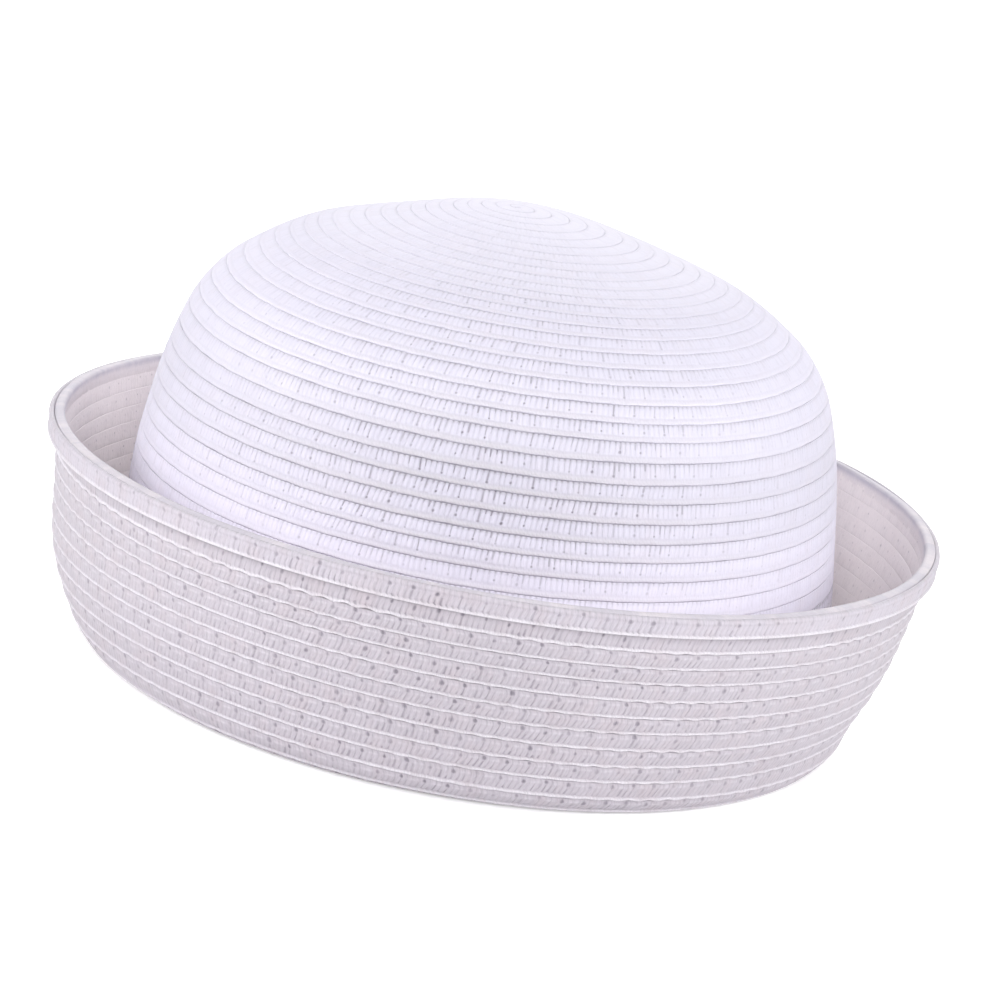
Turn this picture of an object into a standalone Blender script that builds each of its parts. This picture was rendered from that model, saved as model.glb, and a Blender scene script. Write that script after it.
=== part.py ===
# A straw hat of one long sewn braid: a domed crown, and a brim turned up all the way round.
# Metres, with +Z up. It rests on the fold of its brim, and its front faces -Y.

import math
from typing import NamedTuple

import bpy
from mathutils import Vector

# Crown, measured over the braid; its width and depth are those at the head opening
CROWN_WIDTH = 0.175
CROWN_DEPTH = 0.183
CROWN_HEIGHT = 0.1214
CROWN_LEAN = -0.0018
TIP_SHIFT = -0.004
TIP_REACH = 0.022

# Brim, measured over the braid of its rim
RIM_WIDTH = 0.2244
RIM_DEPTH = 0.2264
RIM_TWIST = 0.0006
BRIM_HEIGHT = 0.0547
BRIM_FLARE = math.radians(20)
HEAD_FOLD = 0.0026
BRIM_FOLD = 0.010
FOLD_FLAT = 0.0014

# Braid
WALL = 0.002
ROW_PITCH = 0.00465
ROW_RELIEF = 0.0005
LAP = 0.003
RIM_BAND = 0.0054
RIM_BAND_WALL = 0.0014
EDGE_ROUND = 0.0004
GAP = 0.0003

# How finely the round shapes are cut
SIDES = 40
LINE_STEP = 0.0004
HEAD_FOLD_STEPS = 3
BRIM_FOLD_STEPS = 5
INSIDE_STEP = 0.0095
MERGE_DISTANCE = 0.00001
CREASE = math.radians(40)

# Straw
CROWN_COLOUR = (0.86, 0.84, 0.90)
BRIM_COLOUR = (0.82, 0.79, 0.83)
RIM_COLOUR = (0.84, 0.82, 0.87)
STRAW_ROUGHNESS = 0.6


class Station(NamedTuple):
    reach: float  # share of half the crown's width
    drop: float   # share of the crown's height, down from the tip


class Dent(NamedTuple):
    right: float   # share of half the crown's width, from its middle
    back: float    # share of half the crown's depth
    radius: float  # share of half the crown's width
    depth: float   # share of the crown's height


class Swell(NamedTuple):
    turn: float    # degrees round from the hat's right side towards its back
    height: float  # share of the brim's height
    spread: float  # degrees
    reach: float   # share of the brim's height, up and down
    depth: float   # share of the brim's height, outward


CROWN_STATIONS = [
    Station(reach=0.000, drop=0.000),
    Station(reach=0.206, drop=0.016),
    Station(reach=0.422, drop=0.053),
    Station(reach=0.629, drop=0.101),
    Station(reach=0.806, drop=0.185),
    Station(reach=0.878, drop=0.241),
    Station(reach=0.926, drop=0.309),
    Station(reach=0.978, drop=0.452),
    Station(reach=1.020, drop=0.710),
    Station(reach=1.004, drop=0.920),
]

CROWN_DENTS = [
    Dent(right=-0.45, back=0.35, radius=0.27, depth=0.014),
    Dent(right=0.53, back=0.35, radius=0.35, depth=0.024),
]

BRIM_SWELLS = [
    Swell(turn=180, height=0.36, spread=40, reach=0.28, depth=0.055),
    Swell(turn=-25, height=0.14, spread=35, reach=0.20, depth=-0.036),
]


# Lines in the half plane of a turned profile: x is the reach from the middle, y the height

def curve_through(points, step):
    """A smooth line through the points, as a dense list, level where it leaves the axis."""
    line = [points[0]]
    first = Vector((-points[1].x, points[1].y))
    last = points[-1] * 2 - points[-2]
    padded = [first, *points, last]
    for before, start, end, after in zip(padded, padded[1:], padded[2:], padded[3:]):
        length = (end - start).length
        leave = (end - before) * length / ((start - before).length + length)
        arrive = (after - start) * length / ((after - end).length + length)
        count = max(2, round(length / step))
        for number in range(1, count + 1):
            t = number / count
            line.append(
                start * (2 * t**3 - 3 * t**2 + 1)
                + leave * (t**3 - 2 * t**2 + t)
                + end * (3 * t**2 - 2 * t**3)
                + arrive * (t**3 - t**2)
            )
    return line


def arc(centre, radius, angles):
    return [centre + Vector((math.cos(a), math.sin(a))) * radius for a in angles]


def bow(start, direction, end, step):
    """A line that leaves start in the given direction and bends evenly to reach end."""
    middle = start + direction * (end - start).length / 2
    count = max(2, round((end - start).length / step))
    line = []
    for number in range(1, count + 1):
        t = number / count
        line.append(start * (1 - t) ** 2 + middle * 2 * t * (1 - t) + end * t**2)
    return line


class Line:
    """A line with the distance along it; its outer side is on the left of its direction."""

    def __init__(self, points):
        self.points = points
        self.distances = [0.0]
        for start, end in zip(points, points[1:]):
            self.distances.append(self.distances[-1] + (end - start).length)
        self.length = self.distances[-1]

    def at(self, distance, offset=0.0):
        """The point at a distance along the line, moved off it to its outer side."""
        index = 1
        while index < len(self.points) - 1 and self.distances[index] < distance:
            index += 1
        start = self.points[index - 1]
        end = self.points[index]
        span = self.distances[index] - self.distances[index - 1]
        along = (end - start) / span
        outward = Vector((-along.y, along.x))
        return start + along * (distance - self.distances[index - 1]) + outward * offset


def rows(line, start, end, base, relief):
    """Shingled turns of braid along a stretch of a line, each proud at its lower edge."""
    count = max(1, round(abs(end - start) / ROW_PITCH))
    turn = (end - start) / count
    points = []
    for row in range(count):
        points.append(line.at(start + row * turn, base))
        points.append(line.at(start + (row + 1) * turn, base + relief))
    return points


def evenly(line, start, end, offset, step):
    """Points at an even spacing along a stretch of a line, both ends included."""
    count = max(1, round(abs(end - start) / step))
    return [line.at(start + (end - start) * number / count, offset) for number in range(count + 1)]


# The two lines that the hat follows

def crown_line():
    """The crown's outer face, from the tip down to its lowest turn."""
    points = []
    for station in CROWN_STATIONS:
        reach = station.reach * CROWN_WIDTH / 2
        height = CROWN_HEIGHT * (1 - station.drop)
        points.append(Vector((reach, height)))
    return Line(curve_through(points, LINE_STEP))


def fold(inset):
    """Round the fold from the head opening to the brim, inset from the face that rests."""
    head_side = CROWN_WIDTH / 2 - WALL + HEAD_FOLD
    brim_side = head_side + FOLD_FLAT
    bottom = -math.pi / 2
    head_turn = (bottom + math.pi) / HEAD_FOLD_STEPS
    brim_turn = (-BRIM_FLARE - bottom) / BRIM_FOLD_STEPS
    head_angles = [bottom - head_turn * n for n in range(HEAD_FOLD_STEPS, -1, -1)]
    brim_angles = [bottom + brim_turn * n for n in range(BRIM_FOLD_STEPS + 1)]
    head_arc = arc(Vector((head_side, HEAD_FOLD)), HEAD_FOLD - inset, head_angles)
    brim_arc = arc(Vector((brim_side, BRIM_FOLD)), BRIM_FOLD - inset, brim_angles)
    return head_arc + brim_arc


def rim_reach():
    """Half the width of the brim's own face at its top, inside the doubled edge."""
    return RIM_WIDTH / 2 - RIM_BAND_WALL - GAP - WALL


def brim_rise():
    """The brim's inner face, from the end of the fold up to the rim."""
    start = fold(WALL)[-1]
    direction = Vector((math.sin(BRIM_FLARE), math.cos(BRIM_FLARE)))
    end = Vector((rim_reach(), BRIM_HEIGHT))
    return Line([start, *bow(start, direction, end, LINE_STEP)])


# Profiles, each a closed outline that runs down its outer side and back up inside

def crown_profile():
    line = crown_line()
    middle = -(WALL - GAP) / 2
    outer = rows(line, 0, line.length, 0, ROW_RELIEF)
    lip = [
        line.at(line.length, middle),
        line.at(line.length - LAP, middle),
        line.at(line.length - LAP, -WALL),
    ]
    inner = evenly(line, line.length - LAP, 0, -WALL, INSIDE_STEP)[1:-1]
    under_tip = Vector((0, CROWN_HEIGHT - WALL))
    return [*outer, *lip, *inner, under_tip]


def brim_profile():
    crown = crown_line()
    rise = brim_rise()
    middle = -(WALL + GAP) / 2
    band_end = rise.length - RIM_BAND - GAP
    top = [
        rise.at(rise.length - EDGE_ROUND, 0),
        rise.at(rise.length, -EDGE_ROUND),
        rise.at(rise.length, EDGE_ROUND - WALL),
        rise.at(rise.length - EDGE_ROUND, -WALL),
    ]
    outside = rows(rise, band_end, 0, -WALL, -ROW_RELIEF)
    fold_outside = fold(0)[-2::-1]
    seam = crown.length + GAP
    lap = [
        crown.at(crown.length, -WALL),
        crown.at(crown.length - LAP + GAP, -WALL),
        crown.at(crown.length - LAP + GAP, middle),
        crown.at(seam, middle),
        crown.at(seam, 0),
    ]
    fold_inside = fold(WALL)
    gutter = evenly(rise, 0, rise.length - EDGE_ROUND, 0, INSIDE_STEP)[1:-1]
    return top + outside + fold_outside + lap + fold_inside + gutter


def rim_profile():
    """The doubled edge, a band of braid that lies against the brim's outside."""
    rise = brim_rise()
    top = rise.length
    bottom = top - RIM_BAND
    near = -WALL - GAP
    far = near - RIM_BAND_WALL
    return [
        rise.at(top, near - EDGE_ROUND),
        rise.at(top, far + EDGE_ROUND),
        rise.at(top - EDGE_ROUND, far),
        rise.at(bottom + EDGE_ROUND, far),
        rise.at(bottom, far + EDGE_ROUND),
        rise.at(bottom, near - EDGE_ROUND),
        rise.at(bottom + EDGE_ROUND, near),
        rise.at(top - EDGE_ROUND, near),
    ]


# From a profile to a solid

def extra_depth(reach):
    """How much further than its reach to the side a ring reaches front and back."""
    at_crown = (CROWN_DEPTH - CROWN_WIDTH) / 2
    at_rim = (RIM_DEPTH - RIM_WIDTH) / 2
    base = CROWN_WIDTH / 2
    if reach < base:
        return at_crown * reach / base
    return at_crown + (at_rim - at_crown) * (reach - base) / (RIM_WIDTH / 2 - base)


def widened(point):
    """From a round ring to the hat's oval."""
    reach = math.hypot(point.x, point.y)
    if reach == 0:
        return point.copy()
    return Vector((point.x, point.y * (1 + extra_depth(reach) / reach), point.z))


def crown_form(point):
    """The crown leans over its opening, and has an off-centre tip and shallow dents."""
    place = widened(point)
    start = CROWN_HEIGHT * (1 - CROWN_STATIONS[-1].drop) + LAP
    rise = min(1, max(0, (point.z - start) / (BRIM_HEIGHT - start)))
    place.x += CROWN_LEAN * rise * rise * (3 - 2 * rise)
    top = max(0, 2 * point.z / CROWN_HEIGHT - 1)
    reach = math.hypot(point.x, point.y)
    place.x += TIP_SHIFT * top * math.exp(-((reach / TIP_REACH) ** 2))
    for dent in CROWN_DENTS:
        right = point.x - dent.right * CROWN_WIDTH / 2
        back = point.y - dent.back * CROWN_DEPTH / 2
        away = math.hypot(right, back) / (dent.radius * CROWN_WIDTH / 2)
        place.z -= dent.depth * CROWN_HEIGHT * top * math.exp(-(away**2))
    return place


def brim_form(point):
    """The rim rises a little in two opposite quarters, and the wall swells in places."""
    place = widened(point)
    reach = math.hypot(point.x, point.y)
    start = CROWN_WIDTH / 2 + HEAD_FOLD
    out = min(1, max(0, (reach - start) / BRIM_FOLD))
    if out == 0:
        return place
    turn = math.atan2(point.y, point.x)
    rise = max(0, (point.z - BRIM_FOLD) / (BRIM_HEIGHT - BRIM_FOLD))
    place.z += RIM_TWIST * rise * math.sin(2 * turn)
    for swell in BRIM_SWELLS:
        round_by = math.remainder(turn - math.radians(swell.turn), 2 * math.pi)
        up_by = point.z / BRIM_HEIGHT - swell.height
        away = (round_by / math.radians(swell.spread)) ** 2 + (up_by / swell.reach) ** 2
        outward = swell.depth * BRIM_HEIGHT * out * math.exp(-away) / reach
        place.x += point.x * outward
        place.y += point.y * outward
    return place


def straw(name, colour):
    material = bpy.data.materials.new(name)
    material.use_nodes = True
    shader = material.node_tree.nodes["Principled BSDF"]
    shader.inputs["Base Color"].default_value = (*colour, 1)
    shader.inputs["Roughness"].default_value = STRAW_ROUGHNESS
    shader.inputs["Metallic"].default_value = 0
    return material


def turned(name, profile, form, material, collection, closed):
    """Turns a profile round +Z, bends it to the hat's form and adds it to the scene."""
    edges = [(number, number + 1) for number in range(len(profile) - 1)]
    if closed:
        edges.append((len(profile) - 1, 0))
    outline = bpy.data.meshes.new(name + "_outline")
    outline.from_pydata([(point.x, 0, point.y) for point in profile], edges, [])
    piece = bpy.data.objects.new(name, outline)
    collection.objects.link(piece)

    screw = piece.modifiers.new("turn", "SCREW")
    screw.steps = SIDES
    screw.render_steps = SIDES
    screw.use_merge_vertices = True
    screw.merge_threshold = MERGE_DISTANCE
    bpy.context.view_layer.update()
    turned_mesh = bpy.data.meshes.new_from_object(
        piece.evaluated_get(bpy.context.evaluated_depsgraph_get())
    )
    piece.modifiers.clear()
    piece.data = turned_mesh
    bpy.data.meshes.remove(outline)
    turned_mesh.name = name

    for vertex in turned_mesh.vertices:
        vertex.co = form(vertex.co)
    turned_mesh.materials.append(material)
    turned_mesh.shade_smooth()
    turned_mesh.set_sharp_from_angle(angle=CREASE)
    return piece


def build_hat():
    for old in list(bpy.data.objects):
        bpy.data.objects.remove(old)
    hat = bpy.data.collections.new("straw_hat")
    bpy.context.scene.collection.children.link(hat)

    crown_straw = straw("crown_straw", CROWN_COLOUR)
    brim_straw = straw("brim_straw", BRIM_COLOUR)
    rim_straw = straw("rim_straw", RIM_COLOUR)
    turned("crown", crown_profile(), crown_form, crown_straw, hat, closed=False)
    turned("brim", brim_profile(), brim_form, brim_straw, hat, closed=True)
    turned("rim_braid", rim_profile(), brim_form, rim_straw, hat, closed=True)


build_hat()
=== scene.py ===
# A white straw hat: one long braid, sewn in a spiral from the tip of the crown,
# down into the gutter and up the brim to its doubled rim. Metres throughout.

import math

import bmesh
import bpy
import numpy as np
from mathutils import Matrix, Vector


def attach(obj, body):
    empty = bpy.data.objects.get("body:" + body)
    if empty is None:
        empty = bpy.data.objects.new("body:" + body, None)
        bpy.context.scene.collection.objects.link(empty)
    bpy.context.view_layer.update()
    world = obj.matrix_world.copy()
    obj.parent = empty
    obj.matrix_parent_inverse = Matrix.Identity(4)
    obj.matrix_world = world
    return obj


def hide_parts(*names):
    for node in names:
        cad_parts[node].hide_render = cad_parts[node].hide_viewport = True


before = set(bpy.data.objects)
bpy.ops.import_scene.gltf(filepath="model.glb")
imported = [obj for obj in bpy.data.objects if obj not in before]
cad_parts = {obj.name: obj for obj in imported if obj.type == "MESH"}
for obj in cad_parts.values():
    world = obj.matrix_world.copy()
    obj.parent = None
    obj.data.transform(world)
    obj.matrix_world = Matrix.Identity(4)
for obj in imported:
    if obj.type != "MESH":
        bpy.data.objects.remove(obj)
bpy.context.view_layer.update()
print("frame loaded, nodes:", ", ".join(sorted(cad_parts)))

mm = 0.001
fullTurn = 2 * math.pi
tiny = 1e-9    # keeps a division off zero

# The hat's own sizes, as in the frame
hat = {
    "crownWidth": 175 * mm,
    "crownDepth": 183 * mm,
    "crownHeight": 121.4 * mm,
    "crownLean": -1.8 * mm,      # sideways, above the brim
    "tipShift": -4 * mm,         # the tip lies off the middle
    "tipReach": 22 * mm,
    "rimWidth": 224.4 * mm,
    "rimDepth": 226.4 * mm,
    "rimTwist": 0.6 * mm,        # two opposite quarters of the rim stand higher
    "brimHeight": 54.7 * mm,
    "brimFlare": math.radians(20),
    "brimFold": 10 * mm,         # radius of the fold on the brim's side
    "headFold": 2.6 * mm,        # and on the head's side
    "foldFlat": 1.4 * mm,        # the flat between the two, on which the hat rests
    "wall": 2 * mm,
    "rimBandWall": 1.7 * mm,     # band and the gap under it
    "lap": 3 * mm,               # of the crown's lowest turn over the brim's first
    "floorGap": 0.05 * mm,       # no straw lies closer to the floor
}

# Reach as a share of half the crown's width, and drop as a share of its height
crownStations = [
    (0.000, 0.000), (0.206, 0.016), (0.422, 0.053), (0.629, 0.101), (0.806, 0.185),
    (0.878, 0.241), (0.926, 0.309), (0.978, 0.452), (1.020, 0.710), (1.004, 0.920),
]

# Shallow dents of the crown: right, back, radius and depth, as shares
crownDents = [(-0.45, 0.35, 0.27, 0.014), (0.53, 0.35, 0.35, 0.024)]

# Soft swells of the brim: turn and height of the middle, spread, reach and depth
brimSwells = [(180, 0.36, 40, 0.28, 0.055), (-25, 0.14, 35, 0.20, -0.036)]

# How finely the hat's line and the braid's length are cut
fineness = {
    "crownStep": 0.4 * mm,
    "foldPoints": 24,
    "brimPoints": 120,
    "lengthSamples": 24000,
    "sameness": 0.0001 * mm,     # points closer than this are one
}


# The line that the braid's right side follows, in the half plane of reach and height

def smoothLine(points, step):
    points = np.array(points)
    padded = np.vstack([points[1] * (-1, 1), points, 2 * points[-1] - points[-2]])
    line = [points[:1]]
    for before, start, end, after in zip(padded, padded[1:], padded[2:], padded[3:]):
        length = np.linalg.norm(end - start)
        leave = (end - before) * length / (np.linalg.norm(start - before) + length)
        arrive = (after - start) * length / (np.linalg.norm(after - end) + length)
        t = np.linspace(0, 1, max(2, round(length / step)) + 1)[1:, None]
        line.append(
            start * (2 * t**3 - 3 * t**2 + 1) + leave * (t**3 - 2 * t**2 + t)
            + end * (3 * t**2 - 2 * t**3) + arrive * (t**3 - t**2)
        )
    return np.vstack(line)


def foldArc(centre, radius, start, end):
    angle = np.linspace(start, end, fineness["foldPoints"])
    return np.array(centre) + radius * np.column_stack([np.cos(angle), np.sin(angle)])


# The brim leaves its fold at the flare's angle and bends evenly to the rim.
def brimRise(start):
    end = np.array([hat["rimWidth"] / 2 - hat["rimBandWall"] - hat["wall"], hat["brimHeight"]])
    flare = np.array([math.sin(hat["brimFlare"]), math.cos(hat["brimFlare"])])
    middle = start + flare * np.linalg.norm(end - start) / 2
    t = np.linspace(0, 1, fineness["brimPoints"])[1:, None]
    return start * (1 - t) ** 2 + middle * 2 * t * (1 - t) + end * t**2


# Crown, gutter and brim as one line, and where the crown ends on it.
def hatLine():
    half = hat["crownWidth"] / 2
    stations = [(half * reach, hat["crownHeight"] * (1 - drop)) for reach, drop in crownStations]
    crown = smoothLine(stations, fineness["crownStep"])
    down = 1.5 * math.pi
    headMiddle = half - hat["wall"] + hat["headFold"]
    headArc = foldArc((headMiddle, hat["headFold"]), hat["headFold"] - hat["wall"], math.pi, down)
    brimMiddle = headMiddle + hat["foldFlat"]
    turnEnd = fullTurn - hat["brimFlare"]
    brimArc = foldArc((brimMiddle, hat["brimFold"]), hat["brimFold"] - hat["wall"], down, turnEnd)
    line = np.vstack([crown, headArc, brimArc, brimRise(brimArc[-1])])
    apart = np.linalg.norm(np.diff(line, axis=0), axis=1) > fineness["sameness"]
    return line[np.r_[True, apart]], len(crown) - 1


linePoints, crownLast = hatLine()
lineLength = np.r_[0, np.cumsum(np.linalg.norm(np.diff(linePoints, axis=0), axis=1))]
alongLine = np.gradient(linePoints, lineLength, axis=0)
lineOut = np.column_stack([-alongLine[:, 1], alongLine[:, 0]])
crownEnd = lineLength[crownLast]
rimEnd = lineLength[-1]

braid = {
    # its turns at distances down the line, in mm: closer over the top, wider on the shoulder
    "turns": [
        (0, 0), (24.6, 6.12), (36.4, 9.17), (48.6, 12.19), (56.1, 14.19), (63.5, 16.20),
        (72.3, 18.20), (82.2, 20.20), (91.1, 22.20), (95.9, 23.20), (100.9, 24.20), (110.1, 26.20),
        (128.2, 30.19), (150, 34.93), (187.3, 43.25), (206.3, 47.26), (219.9, 50.27), (228.4, 52.27),
        (237.03, 54.15),
    ],
    "firstTurn": 0.06,
    "tipJoin": 0.02 * mm,        # at the tip, points closer than this are one
    "strand": 1.35 * mm,
    "rowWidth": 4.6 * mm,
    "strandsPerStitch": 4,
    "jitter": 0.1,               # of the strands' places, as a share of a strand
    "ragged": 0.015,             # of the edge nearer the rim, as a share of the row
    "raggedFrom": 0.3,           # place on the row where that sets in
    "beadPull": 0.035,           # how far a stitch draws the brim's beads in, as a share of the row
    "beadPullChange": 0.4,
    "beadEnd": 0.1,              # place on the row where the bead ends
    "slantChange": 0.45,         # of the strands, in mm
    "leastReach": 4 * mm,        # slants are worked out as if no nearer the tip
    "ovalMore": 1.5 * mm,        # the oval's mean reach is this much over its reach to the side
    "paintedLight": [                   # turn, and how much lighter the crown's straw is painted there, as painted light; below zero, painted shade
        (0, 0), (14, 0.03), (18, 0.06), (20, 0.05), (22.6, -0.03),
        (25, -0.10), (27.4, -0.03), (29.5, 0.14), (31, 0.2),
    ],
    "seed": 11,
}
turnPlaces, turnCounts = np.array(braid["turns"]).T
turnAlong = np.interp(lineLength, turnPlaces * mm, turnCounts)
lastTurn = turnAlong[-1]
gutterTurn = float(np.interp(crownEnd, lineLength, turnAlong))

# Length of the braid up to each turn, taken along the middle of its width
turnSamples = np.linspace(0, lastTurn + 1, fineness["lengthSamples"])
middleLine = np.interp(turnSamples - 0.5, turnAlong, lineLength)
middleReach = np.interp(middleLine, lineLength, linePoints[:, 0]) + braid["ovalMore"]
sampleLength = np.diff(turnSamples) * fullTurn * (middleReach[1:] + middleReach[:-1]) / 2
braidLength = np.r_[0, np.cumsum(sampleLength)]
print("braid: %.1f turns, %.1f m long" % (lastTurn, np.interp(lastTurn, turnSamples, braidLength)))


# How much further than its reach to the side a ring reaches front and back.
def extraDepth(reach):
    half = hat["crownWidth"] / 2
    crownMore = (hat["crownDepth"] - hat["crownWidth"]) / 2
    rimMore = (hat["rimDepth"] - hat["rimWidth"]) / 2
    share = (reach - half) / (hat["rimWidth"] / 2 - half)
    return np.where(reach < half, crownMore * reach / half, crownMore + (rimMore - crownMore) * share)


# How far the crown leans sideways, and how far its dents sink.
def crownShifts(x, y, reach, height):
    half = hat["crownWidth"] / 2
    leanStart = hat["crownHeight"] * (1 - crownStations[-1][1]) + hat["lap"]
    rise = np.clip((height - leanStart) / (hat["brimHeight"] - leanStart), 0, 1)
    top = np.clip(2 * height / hat["crownHeight"] - 1, 0, None)
    lean = hat["crownLean"] * rise**2 * (3 - 2 * rise)
    lean = lean + hat["tipShift"] * top * np.exp(-((reach / hat["tipReach"]) ** 2))
    sink = np.zeros_like(x)
    for right, back, radius, depth in crownDents:
        away = np.hypot(x - right * half, y - back * hat["crownDepth"] / 2) / (radius * half)
        sink += depth * hat["crownHeight"] * top * np.exp(-(away**2))
    return lean, sink


# How far the brim swells, as a share of its reach, and how far its rim twists up.
def brimShifts(reach, angle, height):
    out = np.clip((reach - hat["crownWidth"] / 2 - hat["headFold"]) / hat["brimFold"], 0, 1)
    up = np.clip((height - hat["brimFold"]) / (hat["brimHeight"] - hat["brimFold"]), 0, None)
    twist = hat["rimTwist"] * up * np.sin(2 * angle) * (out > 0)
    swell = np.zeros_like(reach)
    for turn, level, spread, span, depth in brimSwells:
        roundBy = np.remainder(angle - math.radians(turn) + math.pi, fullTurn) - math.pi
        upBy = height / hat["brimHeight"] - level
        away = (roundBy / math.radians(spread)) ** 2 + (upBy / span) ** 2
        swell += depth * hat["brimHeight"] * out * np.exp(-away)
    return swell / np.maximum(reach, tiny), twist


# From the round form to the real one: oval, leaning, dented and swollen.
def hatShape(reach, angle, height, onCrown):
    x = reach * np.cos(angle)
    y = reach * np.sin(angle)
    wide = y * (1 + extraDepth(reach) / np.maximum(reach, tiny))
    lean, sink = crownShifts(x, y, reach, height)
    swell, twist = brimShifts(reach, angle, height)
    x = np.where(onCrown, x + lean, x * (1 + swell))
    y = np.where(onCrown, wide, wide + y * swell)
    z = np.where(onCrown, height - sink, height + twist)
    return np.stack([x, y, np.maximum(z, hat["floorGap"])], -1)


# A place at a distance down the line, standing proud of it by so much.
def onLine(distance, proud, angle):
    inside = np.clip(distance, 0, rimEnd)
    past = np.maximum(distance - inside, 0)
    outX = np.interp(inside, lineLength, lineOut[:, 0])
    outZ = np.interp(inside, lineLength, lineOut[:, 1])
    size = np.hypot(outX, outZ)
    outX = outX / size
    outZ = outZ / size
    reach = np.interp(inside, lineLength, linePoints[:, 0]) + outX * proud + outZ * past
    height = np.interp(inside, lineLength, linePoints[:, 1]) + outZ * proud - outX * past
    return hatShape(np.maximum(reach, 0), angle, height, inside <= crownEnd)


# Slow changes along the braid: wavelengths in mm, and a seed for each
drifts = {
    "tone": ((37, 83, 190), 3),
    "slant": ((45, 130), 4),
    "edge": ((9, 23, 61), 5),
    "rows": ((310, 520, 700), 6),
}
waveStretch = (0.85, 1.15)    # chance shortens or lengthens each wave this much


# A smooth wander between about -1 and 1 along the braid.
def drift(length, waves, seed):
    rng = np.random.default_rng(seed)
    total = np.zeros_like(length)
    for wave in waves:
        stretch = rng.uniform(*waveStretch)
        start = rng.uniform(0, fullTurn)
        total += np.sin(length / (wave * mm) * fullTurn * stretch + start)
    return total / len(waves) ** 0.5


# Quads between columns of points round the braid's section: a closed ring, or a tube with capped ends.
def tubeFaces(columns, rows, isRing):
    index = np.arange(columns * rows).reshape(columns, rows)
    nextRow = np.roll(index, -1, axis=1)
    if isRing:
        corners = [index, np.roll(index, -1, axis=0), np.roll(nextRow, -1, axis=0), nextRow]
        return np.stack(corners, -1).reshape(-1, 4).tolist()
    corners = [index[:-1], index[1:], nextRow[1:], nextRow[:-1]]
    caps = [index[0].tolist(), index[-1].tolist()[::-1]]
    return np.stack(corners, -1).reshape(-1, 4).tolist() + caps


# Puts the places on the braid, in mm, on the mesh as its map. On a ring the last column's faces
# run on past the ring's start.
def mapPiece(mesh, places, rows, ringLength):
    corner = np.empty(len(mesh.loops), dtype=np.int32)
    mesh.loops.foreach_get("vertex_index", corner)
    places = places.reshape(-1, 2)[corner]
    if ringLength:
        closing = places[-4 * rows:, 0]
        closing[closing < ringLength / 2] += ringLength
    layer = mesh.uv_layers.new(name="braidMap")
    layer.uv.foreach_set("vector", places.reshape(-1).astype(np.float32))


# Makes a piece from columns of points; ringLength is the map's length if it closes to a ring.
def addPiece(name, points, places, marks, material, node, ringLength=None):
    columns, rows = points.shape[:2]
    faces = tubeFaces(columns, rows, ringLength is not None)
    mesh = bpy.data.meshes.new(name)
    mesh.from_pydata(points.reshape(-1, 3).tolist(), [], faces)
    for label, values in marks.items():
        layer = mesh.attributes.new(label, "FLOAT", "POINT")
        spread = np.broadcast_to(values, (columns, rows)).astype(np.float32)
        layer.data.foreach_set("value", spread.reshape(-1))
    mapPiece(mesh, places, rows, ringLength)
    mesh.shade_smooth()
    if not ringLength:
        for cap in mesh.polygons[-2:]:
            cap.use_smooth = False
    mesh.materials.append(material)
    piece = bpy.data.objects.new(name, mesh)
    bpy.context.scene.collection.objects.link(piece)
    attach(piece, "root")
    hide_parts(node)
    print("  %-12s %7d triangles" % (name, sum(len(face) - 2 for face in faces)))
    return piece


# Sections of the braid, each a closed ring of points. A list that a face leaves out is all zeros.
#   across: place on the braid's width, from the edge nearer the tip to the other
#   proud: height over the face, in mm
#   slit, stitch, thread: depth of the slits and stitches and height of the thread, in mm
#   slant: how far the strands lean along the braid, in mm
#   cord: how much of the twilled cord shows
#   phases: where a strand has its rings of points; 0 is in the slit before it
#   calm: how much of the slits and their painted shade is left at the hat's sides, and over the tip
#   footCalm: how much of them goes again towards the foot of the crown
#   side: 1 for the braid's right side, -1 for the wrong side and 0 for a band round the rim
rightFace = {
    "across": [-0.06, 0.01, 0.10, 0.28, 0.48, 0.62, 0.71, 0.80, 0.92, 1.01],
    "proud": [-0.26, -0.06, 0.03, 0.12, 0.15, 0.10, 0.02, 0.23, 0.20, -0.16],
    "slit": [0, 0.22, 0.20, 0.13, 0.05, 0, 0, 0, 0, 0],
    "stitch": [0, 0.22, 0.20, 0.16, 0.26, 0.06, 0, 0, 0, 0],
    "slant": [0.10, 0.10, 0.08, 0.02, -0.04, -0.06, 0, 0, 0, 0],
    "cord": [0, 0, 0, 0, 0, 0, 0.4, 1, 1, 0],
    "phases": [0, 0.5],
    "calm": (0.18, 0.08),
    "footCalm": 0.58,
    "side": 1,
}
plainRightFace = {
    "across": [-0.07, -0.02, 0.04, 0.50, 0.93, 0.98, 1.03],
    "proud": [-0.30, -0.03, 0.01, 0.03, 0.02, 0.00, -0.30],
    "cord": [0, 0, 0, 0, 0.6, 0.6, 0],
    "phases": [0],
    "calm": (1, 1),
    "side": 1,
}
wrongFace = {
    "across": [1.03, 0.90, 0.82, 0.72, 0.60, 0.42, 0.22, 0.13, 0.08, 0.015, -0.04],
    "proud": [-0.35, -0.02, 0.00, 0.07, 0.07, 0.10, 0.05, -0.05, 0.34, 0.42, -0.20],
    "slit": [0, 0.06, 0.06, 0.03, 0.07, 0.11, 0.14, 0.14, 0.02, 0, 0],
    "stitch": [0, 0.12, 0.28, 0.12, 0.10, 0.13, 0.14, 0.14, 0.05, 0.04, 0],
    "thread": [0, 0, 0, 0.08, 0, 0, 0, 0, 0, 0, 0],
    "slant": [-0.20, -0.06, 0.08, 0.20, 0.18, -0.02, -0.30, -0.42, 0, 0, 0],
    "cord": [0, 0, 0, 0.4, 0, 0, 0, 0, 0.9, 1, 0.5],
    "phases": [0, 0.5],
    "calm": (0.6, 1),
    "side": -1,
}
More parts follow.
